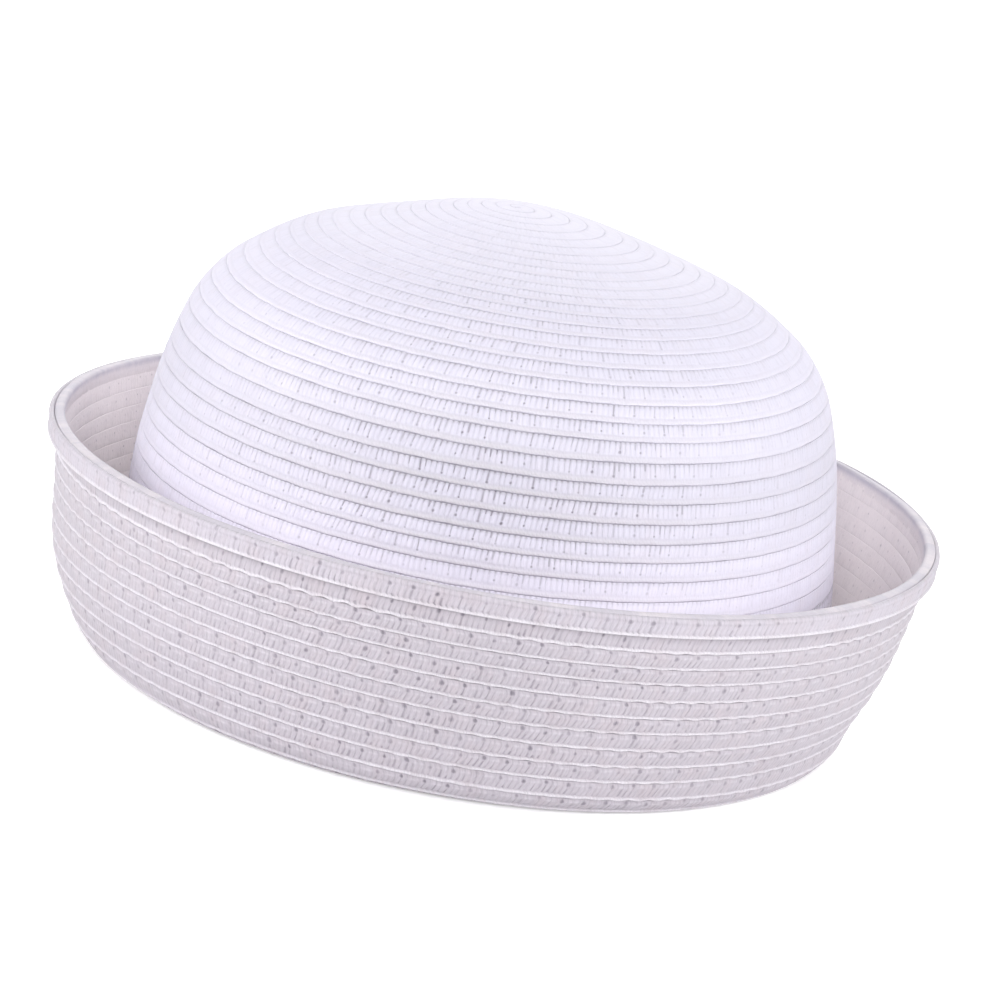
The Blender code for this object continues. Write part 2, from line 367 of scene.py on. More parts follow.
plainWrongFace = {
    "across": [1.00, 0.55, 0.02, -0.02],
    "proud": [-0.25, 0.08, 0.30, -0.25],
    "stitch": [0, 0.12, 0, 0],
    "cord": [0, 0, 1, 0],
    "phases": [0],
    "calm": (1, 1),
    "side": -1,
}


# One of a face's lists, ready to meet a column for the strands.
def faceRow(face, key):
    return np.atleast_2d(face.get(key, 0))


# How the strands differ from each other, and what stays of that where the slits are closed
strands = {
    "slitChance": 0.28,          # share of a slit's depth
    "stitchChance": 0.2,
    "riseChance": 0.035,         # mm
    "toneChance": 0.85,
    "rowRise": 0.03,             # mm, slowly up and down along the row
    "rowTone": 0.6,
    "flatten": 0.9,              # how much flatter the rows lie where the slits are closed
    "even": 0.8,                 # and how much evener their strands
    "hiddenBelow": -0.1,         # mm; points this deep go under the next row
    "hiddenFlatten": 0.5,        # and they are flattened less
    "threadArch": 0.5,           # power of the thread's rise between two stitches
    "threadShade": 0.7,
}


# Heights and marks of a row of strands: every strand has its own height, tone and slit,
# and every stitch pulls one slit open, with the thread lying between the stitches.
def layStrands(face, strandNumber, phase, wander, gape, seed):
    chances = np.random.default_rng(seed).uniform(-1, 1, (strandNumber.max() + 2, 4))
    slitChance, stitchChance, riseChance, toneChance = chances[strandNumber].T[..., None]
    wander = wander[:, None]
    gape = gape[:, None]
    slit, stitch, thread, proud = (faceRow(face, key) for key in ("slit", "stitch", "thread", "proud"))

    ownSlit = slit * (1 - strands["slitChance"] + strands["slitChance"] * slitChance)
    ownStitch = stitch * (1 - strands["stitchChance"] + strands["stitchChance"] * stitchChance)
    pulled = (strandNumber % braid["strandsPerStitch"] == 0)[:, None]
    inSlit = (phase == 0)[:, None]
    depth = np.where(pulled, np.maximum(ownStitch, ownSlit), ownSlit) * inSlit * gape

    betweenStitches = (strandNumber + phase) % braid["strandsPerStitch"] / braid["strandsPerStitch"]
    arch = np.sin(betweenStitches * math.pi)[:, None]
    isStrand = (slit > 0) | (thread > 0)
    calmer = (1 - gape) * strands["flatten"]
    hidden = proud < strands["hiddenBelow"]
    unevenness = strands["riseChance"] * riseChance * isStrand + strands["rowRise"] * wander * (proud > 0)
    rise = unevenness * (1 - strands["even"] * calmer) - depth
    rise = rise + thread * arch ** strands["threadArch"]
    if face["side"] != 0:
        rise = rise - proud * calmer * (1 - strands["hiddenFlatten"] * hidden)

    cordShows = gape if face["side"] > 0 else 1
    marks = {
        "gape": gape,
        "tone": strands["toneChance"] * toneChance + strands["rowTone"] * wander,
        "cord": faceRow(face, "cord") * cordShows - strands["threadShade"] * (thread > 0) * (1 - arch),
    }
    return rise, marks


gapeForm = {
    "sidePower": 4,
    "tipPower": 1.6,
    "tipTurns": 26,              # the slits open up over this many turns from the tip
    "footTurn": 27,              # from here they close again towards the crown's foot
    "footTurns": 5,
}


# How wide the slits stand open, and how strong the painted shade in the slits, gaps and row edges is: most
# at the hat's front and back, least at the sides and over the tip where light falls more squarely.
def slitGape(face, turn, angle):
    atSides, atTip = face["calm"]
    roundHat = atSides + (1 - atSides) * np.sin(angle) ** gapeForm["sidePower"]
    toFoot = np.clip((turn - gapeForm["footTurn"]) / gapeForm["footTurns"], 0, 1)
    nearFoot = 1 - face.get("footCalm", 0) * toFoot
    fromTip = np.clip(turn / gapeForm["tipTurns"], 0, 1) ** gapeForm["tipPower"]
    return roundHat * nearFoot * (atTip + (1 - atTip) * fromTip)


# How the rows stray from an even spiral, in turns unless it says otherwise
straying = {
    "wander": 0.022,             # as sewn by hand
    "wanderTurns": 6,            # over which that sets in at the tip
    "turnLength": 400,           # mm; a rough length of a turn
    "sideLift": 0.15,            # the crown's rows lie this much higher at the hat's sides
    "sidePower": 6,
    "sideStart": 15,
    "sideTurns": 7,              # over which the lift sets in and ends
    "spread": 0.18,              # rows of the brim drawn apart
    "spreadTurn": 48.5,
    "spreadTurns": 3.5,
    "spreadPlace": -125,         # degrees round the hat
    "spreadAngle": 30,           # degrees
    "spreadStart": 4,            # past the gutter
    "taper": (53.44, 53.60),     # where the end of the braid draws up under the rim
    "taperRise": 2.2 * mm,
}


# How far some rows of the brim are drawn apart.
def rowSpread(turn):
    roundBy = np.remainder(-360 * turn - straying["spreadPlace"] + 180, 360) - 180
    across = np.clip((turn - 1 - straying["spreadTurn"]) / straying["spreadTurns"], -1, 1)
    apart = across * np.exp(-((roundBy / straying["spreadAngle"]) ** 2))
    return straying["spread"] * apart * (turn > gutterTurn + straying["spreadStart"])


# Where the tip side of a row lies, in turns.
def rowEdge(turn, side):
    wander = straying["wander"] * drift(turn * straying["turnLength"] * mm, *drifts["rows"])
    edge = turn - 1 + wander * np.clip(turn / straying["wanderTurns"], 0, 1)
    setsIn = np.clip((turn - straying["sideStart"]) / straying["sideTurns"], 0, 1)
    ends = np.clip((gutterTurn - turn) / straying["sideTurns"], 0, 1)
    onSide = np.cos(fullTurn * turn) ** straying["sidePower"] * setsIn * ends
    edge = edge - straying["sideLift"] * onSide
    edge = edge - rowSpread(turn)
    if side < 0:
        start, end = straying["taper"]
        share = np.clip((turn - start) / (end - start), 0, 1)
        edge = edge + share**2 * (3 - 2 * share) * straying["taperRise"] / braid["rowWidth"]
    return np.clip(edge, 0, lastTurn)


# The strands of a stretch of braid, and the rings of points on each, with one more at either end.
def countStrands(fromTurn, toTurn, phases, strand):
    start, end = np.interp([fromTurn, toTurn], turnSamples, braidLength)
    first = math.ceil(start / strand)
    last = math.floor(end / strand)
    number = np.repeat(np.arange(first, last), len(phases))
    phase = np.tile(phases, last - first)
    length = np.r_[start, (number + phase) * strand, end]
    return np.r_[first - 1, number, last], np.r_[0.5, phase, 0.5], length


# Where the points of each ring lie across the rows, in turns.
def rowPlaces(face, length, turn, strandNumber, phase, wander):
    across = faceRow(face, "across")
    moved = braid["ragged"] * drift(length, *drifts["edge"])[:, None] * (across > braid["raggedFrom"])
    if face["side"] < 0:
        pull = np.cos(fullTurn * (strandNumber + phase) / braid["strandsPerStitch"])
        pull = pull * (1 - braid["beadPullChange"] + braid["beadPullChange"] * wander)
        moved = moved + braid["beadPull"] * pull[:, None] * (across < braid["beadEnd"])
    low = rowEdge(turn, face["side"])[:, None]
    high = rowEdge(turn + 1, face["side"])[:, None]
    return np.clip(low + (high - low) * (across + moved), 0, lastTurn)


# How far the points of each ring lie along the braid from where the ring is.
def rowSlant(face, length):
    slant = faceRow(face, "slant")
    leaning = drift(length, *drifts["slant"])[:, None] * (0.5 - faceRow(face, "across"))
    return (slant + braid["slantChange"] * leaning * (slant != 0)) * mm


# A stretch of the braid, wound from one turn to another.
def windBraid(name, face, fromTurn, toTurn, material, node, slot, every=1):
    strand = braid["strand"] * every
    strandNumber, phase, evenLength = countStrands(fromTurn, toTurn, np.array(face["phases"]), strand)
    rng = np.random.default_rng(braid["seed"] + 1)
    jitter = rng.uniform(-braid["jitter"], braid["jitter"], strandNumber.max() + 1) * strand
    length = evenLength.copy()
    length[1:-1] += jitter[strandNumber[1:-1]] * (phase[1:-1] == 0)
    turn = np.interp(length, braidLength, turnSamples)
    wander = drift(length, *drifts["tone"])
    gape = slitGape(face, turn, fullTurn * turn)
    rise, marks = layStrands(face, strandNumber, phase, wander, gape, braid["seed"])
    # painted light and shade by turn, on the braid's right side only
    marks["paintedLight"] = np.interp(turn, *np.array(braid["paintedLight"]).T)[:, None] * (face["side"] > 0)

    distance = np.interp(rowPlaces(face, length, turn, strandNumber, phase, wander), turnAlong, lineLength)
    reach = np.maximum(np.interp(distance, lineLength, linePoints[:, 0]), braid["leastReach"])
    angle = rowSlant(face, length) / reach - fullTurn * turn[:, None]
    proud = (faceRow(face, "proud") + rise) * mm
    offset = proud if face["side"] > 0 else -hat["wall"] - proud
    points = onLine(distance, offset, angle)
    across = faceRow(face, "across") * (braid["rowWidth"] / mm)
    places = np.stack(np.broadcast_arrays(evenLength[:, None] / mm, across), -1)
    piece = addPiece(name, points, places, marks, material, node)
    if fromTurn < 1:
        fuseTip(piece)
    return piece


# The rows that start the spiral meet in one point, and these are joined.
def fuseTip(piece):
    shape = bmesh.new()
    shape.from_mesh(piece.data)
    bmesh.ops.remove_doubles(shape, verts=shape.verts, dist=braid["tipJoin"])
    shape.to_mesh(piece.data)
    shape.free()


# The bands round the rim wander up and down
bandWander = {
    "waves": (2, 5, 9, 14),      # times round the rim
    "size": 0.5,
    "lift": 0.10,                # mm
    "liftedAbove": 2.5,          # mm; below this they keep their place
}


# A level band round the rim, from a ring of points: below is the depth under the rim's top, in mm,
# and proud is how far the point stands off the braid's right side, towards the crown.
def roundBand(name, face, material, node, slot):
    rimReach = linePoints[-1, 0]
    group = braid["strandsPerStitch"]
    count = round(fullTurn * rimReach / braid["strand"] / group) * group
    phases = np.array(face["phases"])
    strandNumber = np.repeat(np.arange(count), len(phases))
    phase = np.tile(phases, count)
    angle = -(strandNumber + phase) / count * fullTurn
    rng = np.random.default_rng(face["seed"])
    wander = np.zeros_like(angle)
    for wave in bandWander["waves"]:
        wander += bandWander["size"] * np.sin(wave * angle + rng.uniform(0, fullTurn))
    gape = slitGape(face, gapeForm["tipTurns"], angle)
    rise, marks = layStrands(face, strandNumber, phase, wander, gape, face["seed"])

    below = faceRow(face, "below")
    offset = faceRow(face, "proud") + rise * face["outward"]
    lift = bandWander["lift"] * wander[:, None] * (below < bandWander["liftedAbove"])
    shift = faceRow(face, "slant") * mm / rimReach
    points = onLine(rimEnd - (below - lift) * mm, offset * mm, angle[:, None] + shift)
    strand = braid["strand"] / mm
    along = (strandNumber + phase)[:, None] * strand
    places = np.stack(np.broadcast_arrays(along, face["mapFoot"] - below), -1)
    return addPiece(name, points, places, marks, material, node, count * strand)


# Adds a shader node, with its inputs given as numbers, colours or the sockets that feed them.
def addNode(tree, kind, given, **settings):
    node = tree.nodes.new("ShaderNode" + kind)
    for key, value in settings.items():
        setattr(node, key, value)
    for socket, value in given.items():
        if isinstance(value, bpy.types.NodeSocket):
            tree.links.new(value, node.inputs[socket])
        else:
            node.inputs[socket].default_value = value
    return node


def mathNode(tree, operation, first, second=0):
    return addNode(tree, "Math", {0: first, 1: second}, operation=operation).outputs[0]


def plus(tree, first, second):
    return mathNode(tree, "ADD", first, second)


def minus(tree, first, second):
    return mathNode(tree, "SUBTRACT", first, second)


def times(tree, first, second):
    return mathNode(tree, "MULTIPLY", first, second)


def largest(tree, first, second):
    return mathNode(tree, "MAXIMUM", first, second)


# The least that it gives, and how much more at a value of 1.
def leastAndMore(tree, value, amounts):
    least, more = amounts
    return plus(tree, least, times(tree, value, more))


# Colours are the Mix node's sixth and seventh inputs.
def mixColours(tree, factor, first, second):
    return addNode(tree, "Mix", {0: factor, 6: first, 7: second}, data_type="RGBA").outputs[2]


# Rises softly from one value to another between two places.
def ramp(tree, value, between, values=(0.0, 1.0)):
    levels = {0: value, 1: between[0], 2: between[1], 3: values[0], 4: values[1]}
    return addNode(tree, "MapRange", levels, interpolation_type="SMOOTHSTEP").outputs[0]


def rampDown(tree, value, between):
    return ramp(tree, value, between, (1.0, 0.0))


def flatNoise(tree, place, scale, detail):
    given = {"Vector": place, "Scale": scale, "Detail": detail}
    return addNode(tree, "TexNoise", given, noise_dimensions="2D").outputs[0]


def newGroup(name, inputs, outputs):
    tree = bpy.data.node_groups.new(name, "ShaderNodeTree")
    for way, sockets in (("INPUT", inputs), ("OUTPUT", outputs)):
        for label, kind in sockets.items():
            tree.interface.new_socket(label, in_out=way, socket_type="NodeSocket" + kind)
    return tree, tree.nodes.new("NodeGroupInput").outputs, tree.nodes.new("NodeGroupOutput").inputs


# The form of the slits and holes, whose sizes the looks give. A pair is the least and how much
# more chance adds, or where a soft edge starts and ends.
slitForm = {
    "opens": (0.0, 0.08),        # shares of the slit's length
    "closes": (0.85, 1.0),
    "width": (0.6, 0.8),         # shares of the look's width
    "narrows": 0.55,
    "edge": (0.1, 1.0),
    "shade": (0.2, 0.8),
    "fades": 0.20,
    "stitchShade": (0.1, 0.45),  # the least, and more where a stitch pulls
    "strandsStart": (-0.1, 0.2),     # mm
    "strandsEnd": (-0.5, 0.2),
    "holeStray": 0.4,            # how far the hole moves along with a longer slit's end
    "holeSize": (0.7, 0.5),
    "holeEdge": (0.25, 1.0),
    "holeShade": (-0.5, 0.6),
    "seamEdge": (0.0, 1.0),      # mm
    "seamShade": (0.35, 0.65),   # the least, and more in the gaps between the strands
    "footEdge": (0.0, 0.5),      # mm
}


# The nearest slit to a place on the map, how far off it the place lies, and three chances of its own.
def nearestSlit(tree, along):
    strand = braid["strand"] / mm
    number = mathNode(tree, "ROUND", mathNode(tree, "DIVIDE", along, strand))
    aside = minus(tree, along, times(tree, number, strand))
    chance = addNode(tree, "TexWhiteNoise", {"W": number}, noise_dimensions="1D").outputs["Color"]
    chances = addNode(tree, "SeparateColor", {0: chance}).outputs
    inStitch = mathNode(tree, "FLOORED_MODULO", number, braid["strandsPerStitch"])
    return aside, mathNode(tree, "LESS_THAN", inStitch, 0.5), chances


# A slit is widest and its painted shade darkest where it starts, and every strand's slit differs a little.
def slitMask(tree, look, across, offSlit, isStitch, spread, ownWidth, ownShade):
    more = times(tree, minus(tree, look["Stitch End"], look["Slit End"]), isStitch)
    end = plus(tree, plus(tree, look["Slit End"], spread), more)
    levels = {0: across, 1: look["Slit Start"], 2: end, 3: 0.0, 4: 1.0}
    share = addNode(tree, "MapRange", levels).outputs[0]
    opens = ramp(tree, share, slitForm["opens"])
    inside = times(tree, opens, rampDown(tree, share, slitForm["closes"]))
    narrowing = leastAndMore(tree, ownWidth, slitForm["width"])
    narrowing = minus(tree, narrowing, times(tree, share, slitForm["narrows"]))
    apart = mathNode(tree, "DIVIDE", offSlit, times(tree, look["Slit Width"], narrowing))
    slit = times(tree, inside, rampDown(tree, apart, slitForm["edge"]))
    fading = leastAndMore(tree, times(tree, ownShade, ownShade), slitForm["shade"])
    fading = minus(tree, fading, times(tree, share, slitForm["fades"]))
    fading = largest(tree, fading, leastAndMore(tree, isStitch, slitForm["stitchShade"]))
    return times(tree, slit, fading)


# The painted shade in the hole at every stitch.
def holeMask(tree, look, across, aside, isStitch, spread, ownWidth, ownShade):
    holePlace = plus(tree, look["Hole Place"], times(tree, spread, slitForm["holeStray"]))
    offHole = addNode(tree, "CombineXYZ", {0: aside, 1: minus(tree, across, holePlace)}).outputs[0]
    fromHole = addNode(tree, "VectorMath", {0: offHole}, operation="LENGTH").outputs["Value"]
    ownSize = times(tree, look["Hole Size"], leastAndMore(tree, ownWidth, slitForm["holeSize"]))
    hole = rampDown(tree, mathNode(tree, "DIVIDE", fromHole, ownSize), slitForm["holeEdge"])
    return times(tree, times(tree, hole, isStitch), ramp(tree, ownShade, slitForm["holeShade"]))


# Painted shade where one row goes under the next, darker in the gaps between the strands, and a softer band
# of painted shade set back from the row's other edge at the foot place.
def rowShadeMask(tree, look, across, inGap):
    rowShade = times(tree, rampDown(tree, across, slitForm["seamEdge"]), look["Row Shade Top"])
    rowShade = times(tree, rowShade, leastAndMore(tree, inGap, slitForm["seamShade"]))
    fromEnd = minus(tree, braid["rowWidth"] / mm, across)
    offFoot = mathNode(tree, "ABSOLUTE", minus(tree, fromEnd, look["Foot Place"]))
    foot = times(tree, rampDown(tree, offFoot, slitForm["footEdge"]), look["Row Shade Foot"])
    return largest(tree, rowShade, foot)


# The slits between the strands and the hole at every stitch, as masks on the braid's map in mm; besides the
# crests and own tones, the masks carry painted shade.
def makeSlitGroup():
    sizes = (
        "Slit Start", "Slit End", "Slit Spread", "Slit Width", "Stitch End", "Hole Place", "Hole Size",
        "Strands End", "Row Shade Top", "Row Shade Foot", "Foot Place",
    )
    masks = ("Slit", "Hole", "Gap", "Crest", "Seam", "Own Tone")
    inputs = dict.fromkeys(sizes, "Float")
    tree, look, result = newGroup("strandSlits", inputs, dict.fromkeys(masks, "Float"))
    place = addNode(tree, "UVMap", {}, uv_map="braidMap").outputs[0]
    along, across = addNode(tree, "SeparateXYZ", {0: place}).outputs[:2]
    aside, isStitch, (ownLength, ownWidth, ownShade) = nearestSlit(tree, along)
    offSlit = mathNode(tree, "ABSOLUTE", aside)
    spread = times(tree, minus(tree, ownLength, 0.5), look["Slit Spread"])
    slit = slitMask(tree, look, across, offSlit, isStitch, spread, ownWidth, ownShade)
    hole = holeMask(tree, look, across, aside, isStitch, spread, ownWidth, ownShade)

    # between the slits every strand is round, with painted shade towards its sides
    starts = ramp(tree, minus(tree, across, look["Slit Start"]), slitForm["strandsStart"])
    ends = rampDown(tree, minus(tree, across, look["Strands End"]), slitForm["strandsEnd"])
    zone = times(tree, starts, ends)
    fromCrest = minus(tree, 1.0, mathNode(tree, "DIVIDE", offSlit, braid["strand"] / mm / 2))
    inGap = times(tree, fromCrest, fromCrest)
    gap = times(tree, inGap, zone)
    crest = times(tree, minus(tree, 1.0, inGap), zone)
    ownTone = times(tree, minus(tree, ownWidth, 0.5), zone)
    rowShade = rowShadeMask(tree, look, across, inGap)
    for label, socket in zip(masks, (slit, hole, gap, crest, rowShade, ownTone)):
        tree.links.new(socket, result[label])
    return tree


# Sizes and strengths of the straw's patterns. The pairs are as in slitForm.
strawForm = {
    "fibreScale": (3.2, 0.7, 1),     # per mm, along and across the braid
    "fibreDetail": 3,
    "fibreMiddle": 0.58,
    "fibreHeight": 0.7,
    "twillScale": 0.62,
    "twillBend": 1.5,
    "twillDetail": 1,
    "twillShade": 0.12,
    "twillHeight": 0.6,
    "blotchScale": 0.16,
    "blotchDetail": 2,
    "blotchMiddle": 0.42,
    "blotchContrast": 2.2,
    "blotchTone": 0.25,          # share of the strand's own tone
    "drawnScale": 0.07,          # how open the slits are drawn changes slowly along the braid
    "drawnDetail": 1,
    "drawnFrom": (0.25, 0.65),
    "drawnTo": (0.45, 1.15),
    "seamShade": (0.2, 0.8),     # the least, and more where the slits are open
    "ownTone": 0.08,
    "roughness": (0.50, 0.25),
    "slitDepth": 1.6,
}


# The straw's colour before any darkening: cord or strand, mottled, and painted lighter or darker in places
# as painted light and shade.
def strawColour(tree, look, place, tone, cord, paintedLight):
    colour = mixColours(tree, cord, look["Straw"], look["Cord"])
    blotch = flatNoise(tree, place, strawForm["blotchScale"], strawForm["blotchDetail"])
    patchy = times(tree, minus(tree, blotch, strawForm["blotchMiddle"]), strawForm["blotchContrast"])
    patchy = plus(tree, patchy, times(tree, tone, strawForm["blotchTone"]))
    warmth = addNode(tree, "Clamp", {0: times(tree, patchy, look["Mottle"])}).outputs[0]
    colour = mixColours(tree, warmth, colour, look["Warm"])
    brighter = leastAndMore(tree, paintedLight, (1.0, look["Painted Light"]))
    return addNode(tree, "VectorMath", {0: colour, "Scale": brighter}, operation="SCALE").outputs[0]


# How much painted shade the slits and holes put on the straw.
def openShade(tree, look, place, gape):
    slit = times(tree, look["Slit"], look["Slit Dark"])
    deepest = largest(tree, slit, times(tree, look["Hole"], look["Hole Dark"]))
    drawn = flatNoise(tree, place, strawForm["drawnScale"], strawForm["drawnDetail"])
    change = ramp(tree, drawn, strawForm["drawnFrom"], strawForm["drawnTo"])
    return times(tree, times(tree, deepest, gape), change)


# How much the fibre, each strand's own tone and the twill darken it.
def faintShade(tree, look, fibre, twill):
    faint = times(tree, minus(tree, strawForm["fibreMiddle"], fibre), look["Fibre"])
    faint = plus(tree, faint, times(tree, look["Own Tone"], strawForm["ownTone"]))
    return largest(tree, plus(tree, faint, times(tree, twill, strawForm["twillShade"])), 0.0)


# What the materials share besides: paper fibre, twill on the cords and mottling.
def makeStrawGroup():
    inputs = dict.fromkeys(("Straw", "Cord", "Warm", "Slit Shade"), "Color")
    values = (
        "Slit", "Hole", "Gap", "Crest", "Seam", "Own Tone", "Slit Dark", "Hole Dark", "Gap Dark", "Relief",
        "Fibre", "Mottle", "Twill", "Painted Light",
    )
    inputs.update(dict.fromkeys(values, "Float"))
    outputs = {"Color": "Color", "Roughness": "Float", "Height": "Float"}
    tree, look, result = newGroup("strawFibre", inputs, outputs)
    place = addNode(tree, "UVMap", {}, uv_map="braidMap").outputs[0]
    gape, tone, cord, paintedLight = (
        addNode(tree, "Attribute", {}, attribute_name=label).outputs["Fac"]
        for label in ("gape", "tone", "cord", "paintedLight")
    )
    stretched = addNode(tree, "Mapping", {"Vector": place, "Scale": strawForm["fibreScale"]}).outputs[0]
    fibre = flatNoise(tree, stretched, 1.0, strawForm["fibreDetail"])
    given = {
        "Vector": place,
        "Scale": strawForm["twillScale"],
        "Distortion": strawForm["twillBend"],
        "Detail": strawForm["twillDetail"],
    }
    twill = addNode(tree, "TexWave", given, wave_type="BANDS", bands_direction="DIAGONAL").outputs["Fac"]
    twill = times(tree, times(tree, twill, cord), look["Twill"])

    # Painted shade of the slits, holes, row edges and strands' sides; with the fibre, own tone and twill it
    # mixes the straw towards the slit shade colour.
    opened = openShade(tree, look, place, gape)
    between = times(tree, times(tree, look["Gap"], look["Gap Dark"]), gape)
    rowShade = times(tree, look["Seam"], leastAndMore(tree, gape, strawForm["seamShade"]))
    shaded = plus(tree, largest(tree, opened, rowShade), between)
    dark = addNode(tree, "Clamp", {0: plus(tree, shaded, faintShade(tree, look, fibre, twill))}).outputs[0]
    colour = strawColour(tree, look, place, tone, cord, paintedLight)
    colour = mixColours(tree, dark, colour, look["Slit Shade"])

    rough = leastAndMore(tree, fibre, strawForm["roughness"])
    fibreHeight = times(tree, fibre, strawForm["fibreHeight"])
    height = plus(tree, fibreHeight, times(tree, twill, strawForm["twillHeight"]))
    height = minus(tree, height, times(tree, opened, strawForm["slitDepth"]))
    height = plus(tree, height, times(tree, times(tree, look["Crest"], gape), look["Relief"]))
    for label, socket in (("Color", colour), ("Roughness", rough), ("Height", height)):
        tree.links.new(socket, result[label])
    return tree


slitGroup = makeSlitGroup()
strawGroup = makeStrawGroup()


def strawMaterial(name, look):
    material = bpy.data.materials.new(name)
    material.use_nodes = True
    tree = material.node_tree
    shader = tree.nodes["Principled BSDF"]
    slits = tree.nodes.new("ShaderNodeGroup")
    slits.node_tree = slitGroup
    straw = tree.nodes.new("ShaderNodeGroup")
    straw.node_tree = strawGroup
    for group in (slits, straw):
        for socket in group.inputs:
            if socket.name in look:
                socket.default_value = look[socket.name]
    for socket in slits.outputs:
        tree.links.new(socket, straw.inputs[socket.name])
    given = {"Height": straw.outputs["Height"], "Strength": look["Bump"], "Distance": look["Bump Depth"]}
    bump = addNode(tree, "Bump", given)
    tree.links.new(straw.outputs["Color"], shader.inputs["Base Color"])
    tree.links.new(straw.outputs["Roughness"], shader.inputs["Roughness"])
    tree.links.new(bump.outputs["Normal"], shader.inputs["Normal"])
    shader.inputs["Specular IOR Level"].default_value = look["Gloss"]
    shader.inputs["Sheen Weight"].default_value = look["Sheen"]
    shader.inputs["Sheen Roughness"].default_value = look["Sheen Roughness"]
    return material


# The slits and holes are in mm from the edge of the braid nearer the tip.
crownLook = {
    "Straw": (0.67, 0.65, 0.755, 1),
    "Cord": (0.63, 0.605, 0.66, 1),
    "Warm": (0.68, 0.64, 0.715, 1),
    "Slit Shade": (0.19, 0.17, 0.205, 1),
    "Slit Start": 0.0,
    "Slit End": 1.5,
    "Slit Spread": 1.8,
    "Slit Width": 0.42,
    "Slit Dark": 0.72,
    "Stitch End": 2.2,
    "Hole Place": 2.5,
    "Hole Size": 0.46,
    "Hole Dark": 0.66,
    "Strands End": 3.1,
    "Gap Dark": 0.17,
    "Row Shade Top": 0.68,
    "Row Shade Foot": 0.14,
    "Foot Place": 1.38,
    "Relief": 1.2,
    "Fibre": 0.25,
    "Mottle": 0.35,
    "Twill": 0.6,
    "Painted Light": 1.0,
    "Bump": 0.6,
    "Bump Depth": 0.2 * mm,
    "Gloss": 0.3,
    "Sheen": 0.1,
    "Sheen Roughness": 0.4,
}
# The brim's outside is the same straw as the crown, painted darker as shade where the brim faces down, with
# its cords and beads painted lighter as highlight; the last row and the rim band take these colours, the
# rim band's strands a little lighter.
brimLook = dict(crownLook, **{
    "Straw": (0.50, 0.465, 0.515, 1),
    "Cord": (0.71, 0.68, 0.73, 1),
    "Warm": (0.52, 0.455, 0.49, 1),
    "Slit Start": 0.62,
    "Slit End": 2.1,
    "Slit Spread": 2.8,
    "Slit Width": 0.50,
    "Slit Dark": 0.44,
    "Stitch End": 2.4,
    "Hole Place": 3.35,
    "Hole Size": 0.78,
    "Hole Dark": 0.62,
    "Strands End": 4.4,
    "Gap Dark": 0.14,
    "Row Shade Top": 0.0,
    "Row Shade Foot": 0.18,
    "Foot Place": 0.2,
    "Fibre": 0.6,
    "Mottle": 0.5,
    "Painted Light": 0.0,
})
lastRowLook = dict(brimLook, **{    # this row is drawn wide, so its map is shorter
    "Slit Start": 0.42,
    "Slit End": 1.4,
    "Slit Spread": 1.9,
    "Stitch End": 1.6,
    "Hole Place": 2.1,
    "Hole Size": 0.64,
    "Strands End": 3.0,
})
rimLook = dict(brimLook, **{
    "Straw": (0.54, 0.505, 0.565, 1),
    "Hole Place": 3.50,
    "Stitch End": 3.1,
    "Strands End": 5.2,
    "Row Shade Foot": 0.10,
    "Foot Place": 1.0,
    "Twill": 0.2,
})
# The gutter and the brim's inside: the same straw painted much lighter and warmer, as painted light where
# the crown and brim shade it, with little painted shade in its slits and row edges.
litGutterLook = dict(crownLook, **{
    "Straw": (0.97, 0.905, 0.895, 1),
    "Cord": (0.97, 0.905, 0.895, 1),
    "Warm": (0.96, 0.875, 0.86, 1),
    "Slit Dark": 0.02,
    "Hole Dark": 0.25,
    "Gap Dark": 0.02,
    "Row Shade Top": 0.06,
    "Row Shade Foot": 0.0,
    "Relief": 0.1,
    "Twill": 0.1,
    "Painted Light": 0.0,
})
insideLook = dict(crownLook, **{
    "Straw": (0.72, 0.70, 0.75, 1),
    "Slit Dark": 0.15,
    "Hole Dark": 0.4,
    "Gap Dark": 0.1,
    "Painted Light": 0.0,
})
crownStraw = strawMaterial("crownStraw", crownLook)
brimStraw = strawMaterial("brimStraw", brimLook)
lastRowStraw = strawMaterial("lastRowStraw", lastRowLook)
rimStraw = strawMaterial("rimStraw", rimLook)
# The inner band round the rim takes the gutter's painted light, with darker cords.
rimInnerStraw = strawMaterial("rimInnerStraw", dict(litGutterLook, Cord=(0.60, 0.57, 0.63, 1)))
litGutterStraw = strawMaterial("litGutterStraw", litGutterLook)
insideStraw = strawMaterial("insideStraw", insideLook)
print("straw materials ready")

# The bands round the rim; outward says whether a rise goes to the crown, 1, or away from it, -1,
# and mapFoot is the place on the map where below is 0.
rimBandFace = {
    "below": [5.0, 1.0, 0.10, -0.25, -0.30, 0.0, 0.5, 0.9, 1.3, 2.0, 2.9, 3.45, 3.7, 4.0, 4.35, 4.5],
    "proud": [
        -2.45, -2.45, -2.47, -2.65, -3.2, -3.62, -3.82, -3.78,
        -3.72, -3.78, -3.76, -3.66, -3.92, -4.10, -3.95, -3.2,
    ],
    "slit": [0, 0, 0, 0, 0, 0, 0.02, 0.08, 0.10, 0.14, 0.18, 0.20, 0.02, 0, 0, 0],
    "stitch": [0, 0, 0, 0, 0, 0, 0.08, 0.30, 0.32, 0.26, 0.22, 0.22, 0.04, 0, 0, 0],
    "thread": [0, 0, 0, 0, 0, 0, 0, 0.06, 0, 0, 0, 0, 0, 0, 0, 0],
    "slant": [0, 0, 0, 0, 0, 0, 0.02, 0.16, 0.15, -0.05, -0.25, -0.35, 0, 0, 0, 0],
    "cord": [0, 0, 0.2, 0.4, 0.3, 0.1, 0, 0, 0, 0, 0, 0, 0.6, 1, 1, 0],
    "phases": [0, 0.5],
    "calm": (0.4, 1),
    "side": 0,
    "outward": -1,
    "mapFoot": 4.4,
    "seed": 21,
}
